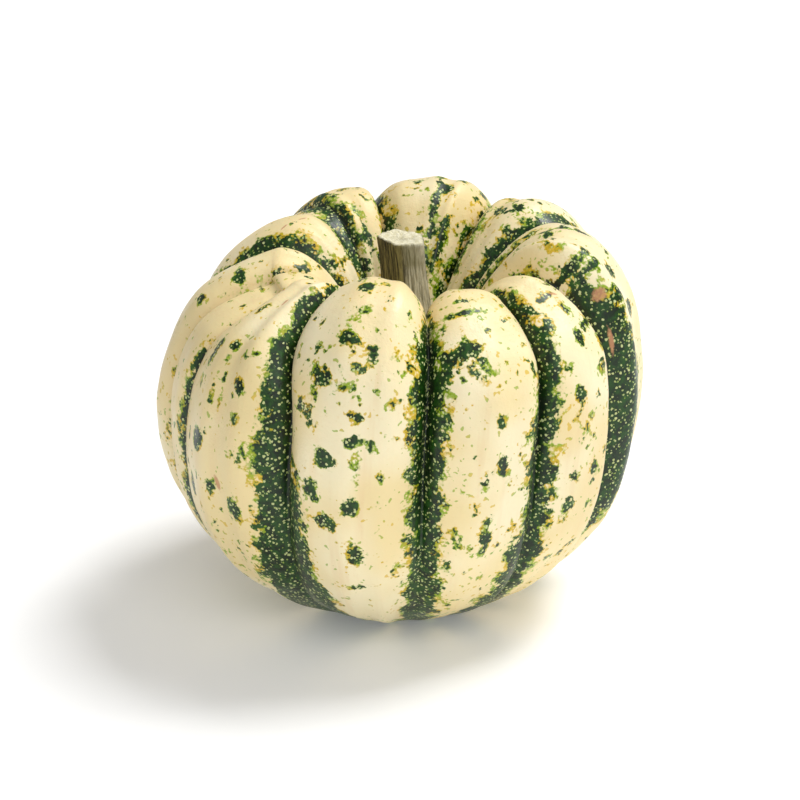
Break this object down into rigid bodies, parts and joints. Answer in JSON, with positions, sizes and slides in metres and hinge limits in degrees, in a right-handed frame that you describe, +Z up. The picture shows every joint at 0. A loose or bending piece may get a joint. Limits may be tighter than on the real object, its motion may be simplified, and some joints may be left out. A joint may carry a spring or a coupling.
{
  "type": "sweet dumpling squash",
  "caption": "Small ribbed winter squash with cream and green striped rind, a deep hollow on top and a short woody stalk stub, standing on its blossom end.",
  "frame": {"origin": "under the middle of the fruit, on the surface it stands on", "axes": "+Z up along the stalk; -Y is the front"},
  "size_m": [0.1224, 0.1194, 0.1002],
  "materials": {
    "rind": "waxy rind, cream with speckled dark green stripes in the creases and green flecks",
    "stalk": "dry ridged stalk, grey-brown and olive, with a pale rough cut face"
  },
  "bodies": {
    "root": {"fruit": "rind", "stem": "stalk"}
  },
  "joints": []
}
